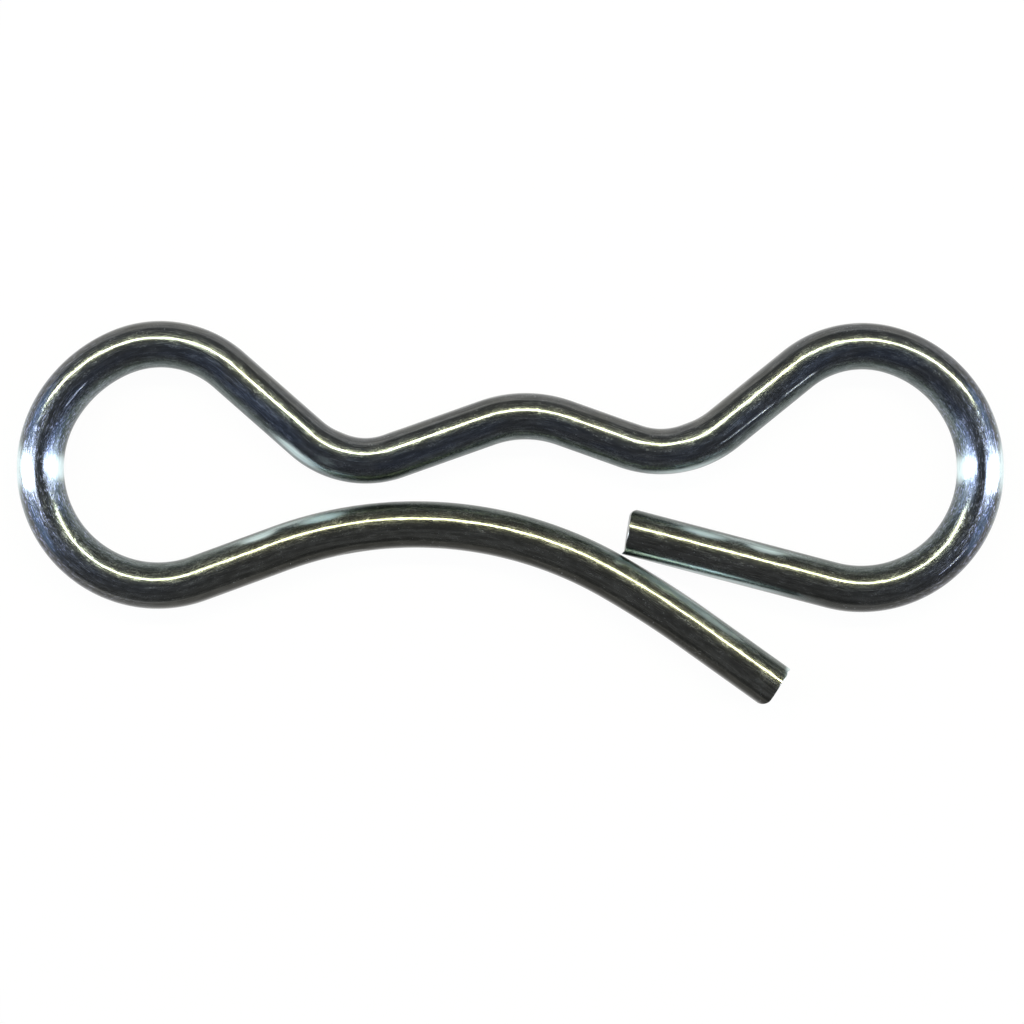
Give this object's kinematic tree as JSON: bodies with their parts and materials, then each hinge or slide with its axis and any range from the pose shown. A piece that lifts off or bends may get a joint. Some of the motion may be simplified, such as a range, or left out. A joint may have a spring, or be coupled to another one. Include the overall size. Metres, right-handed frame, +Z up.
{
  "type": "locking cotter pin",
  "caption": "Flat bow-tie locking cotter pin bent from round wire: looped ends, a humped leg that seats on a shaft and a long leg for the shaft's cross hole.",
  "frame": {"origin": "on the surface the pin lies on, under the middle of its box", "axes": "+X along the pin, from the left loop to the hooked loop; +Y across it, from the long leg to the humped leg; +Z up, through the wire's thickness"},
  "size_m": [0.05, 0.0194, 0.0024],
  "materials": {
    "zinc_wire": "polished"
  },
  "bodies": {
    "root": {"cotter_pin": "zinc_wire"}
  },
  "joints": []
}
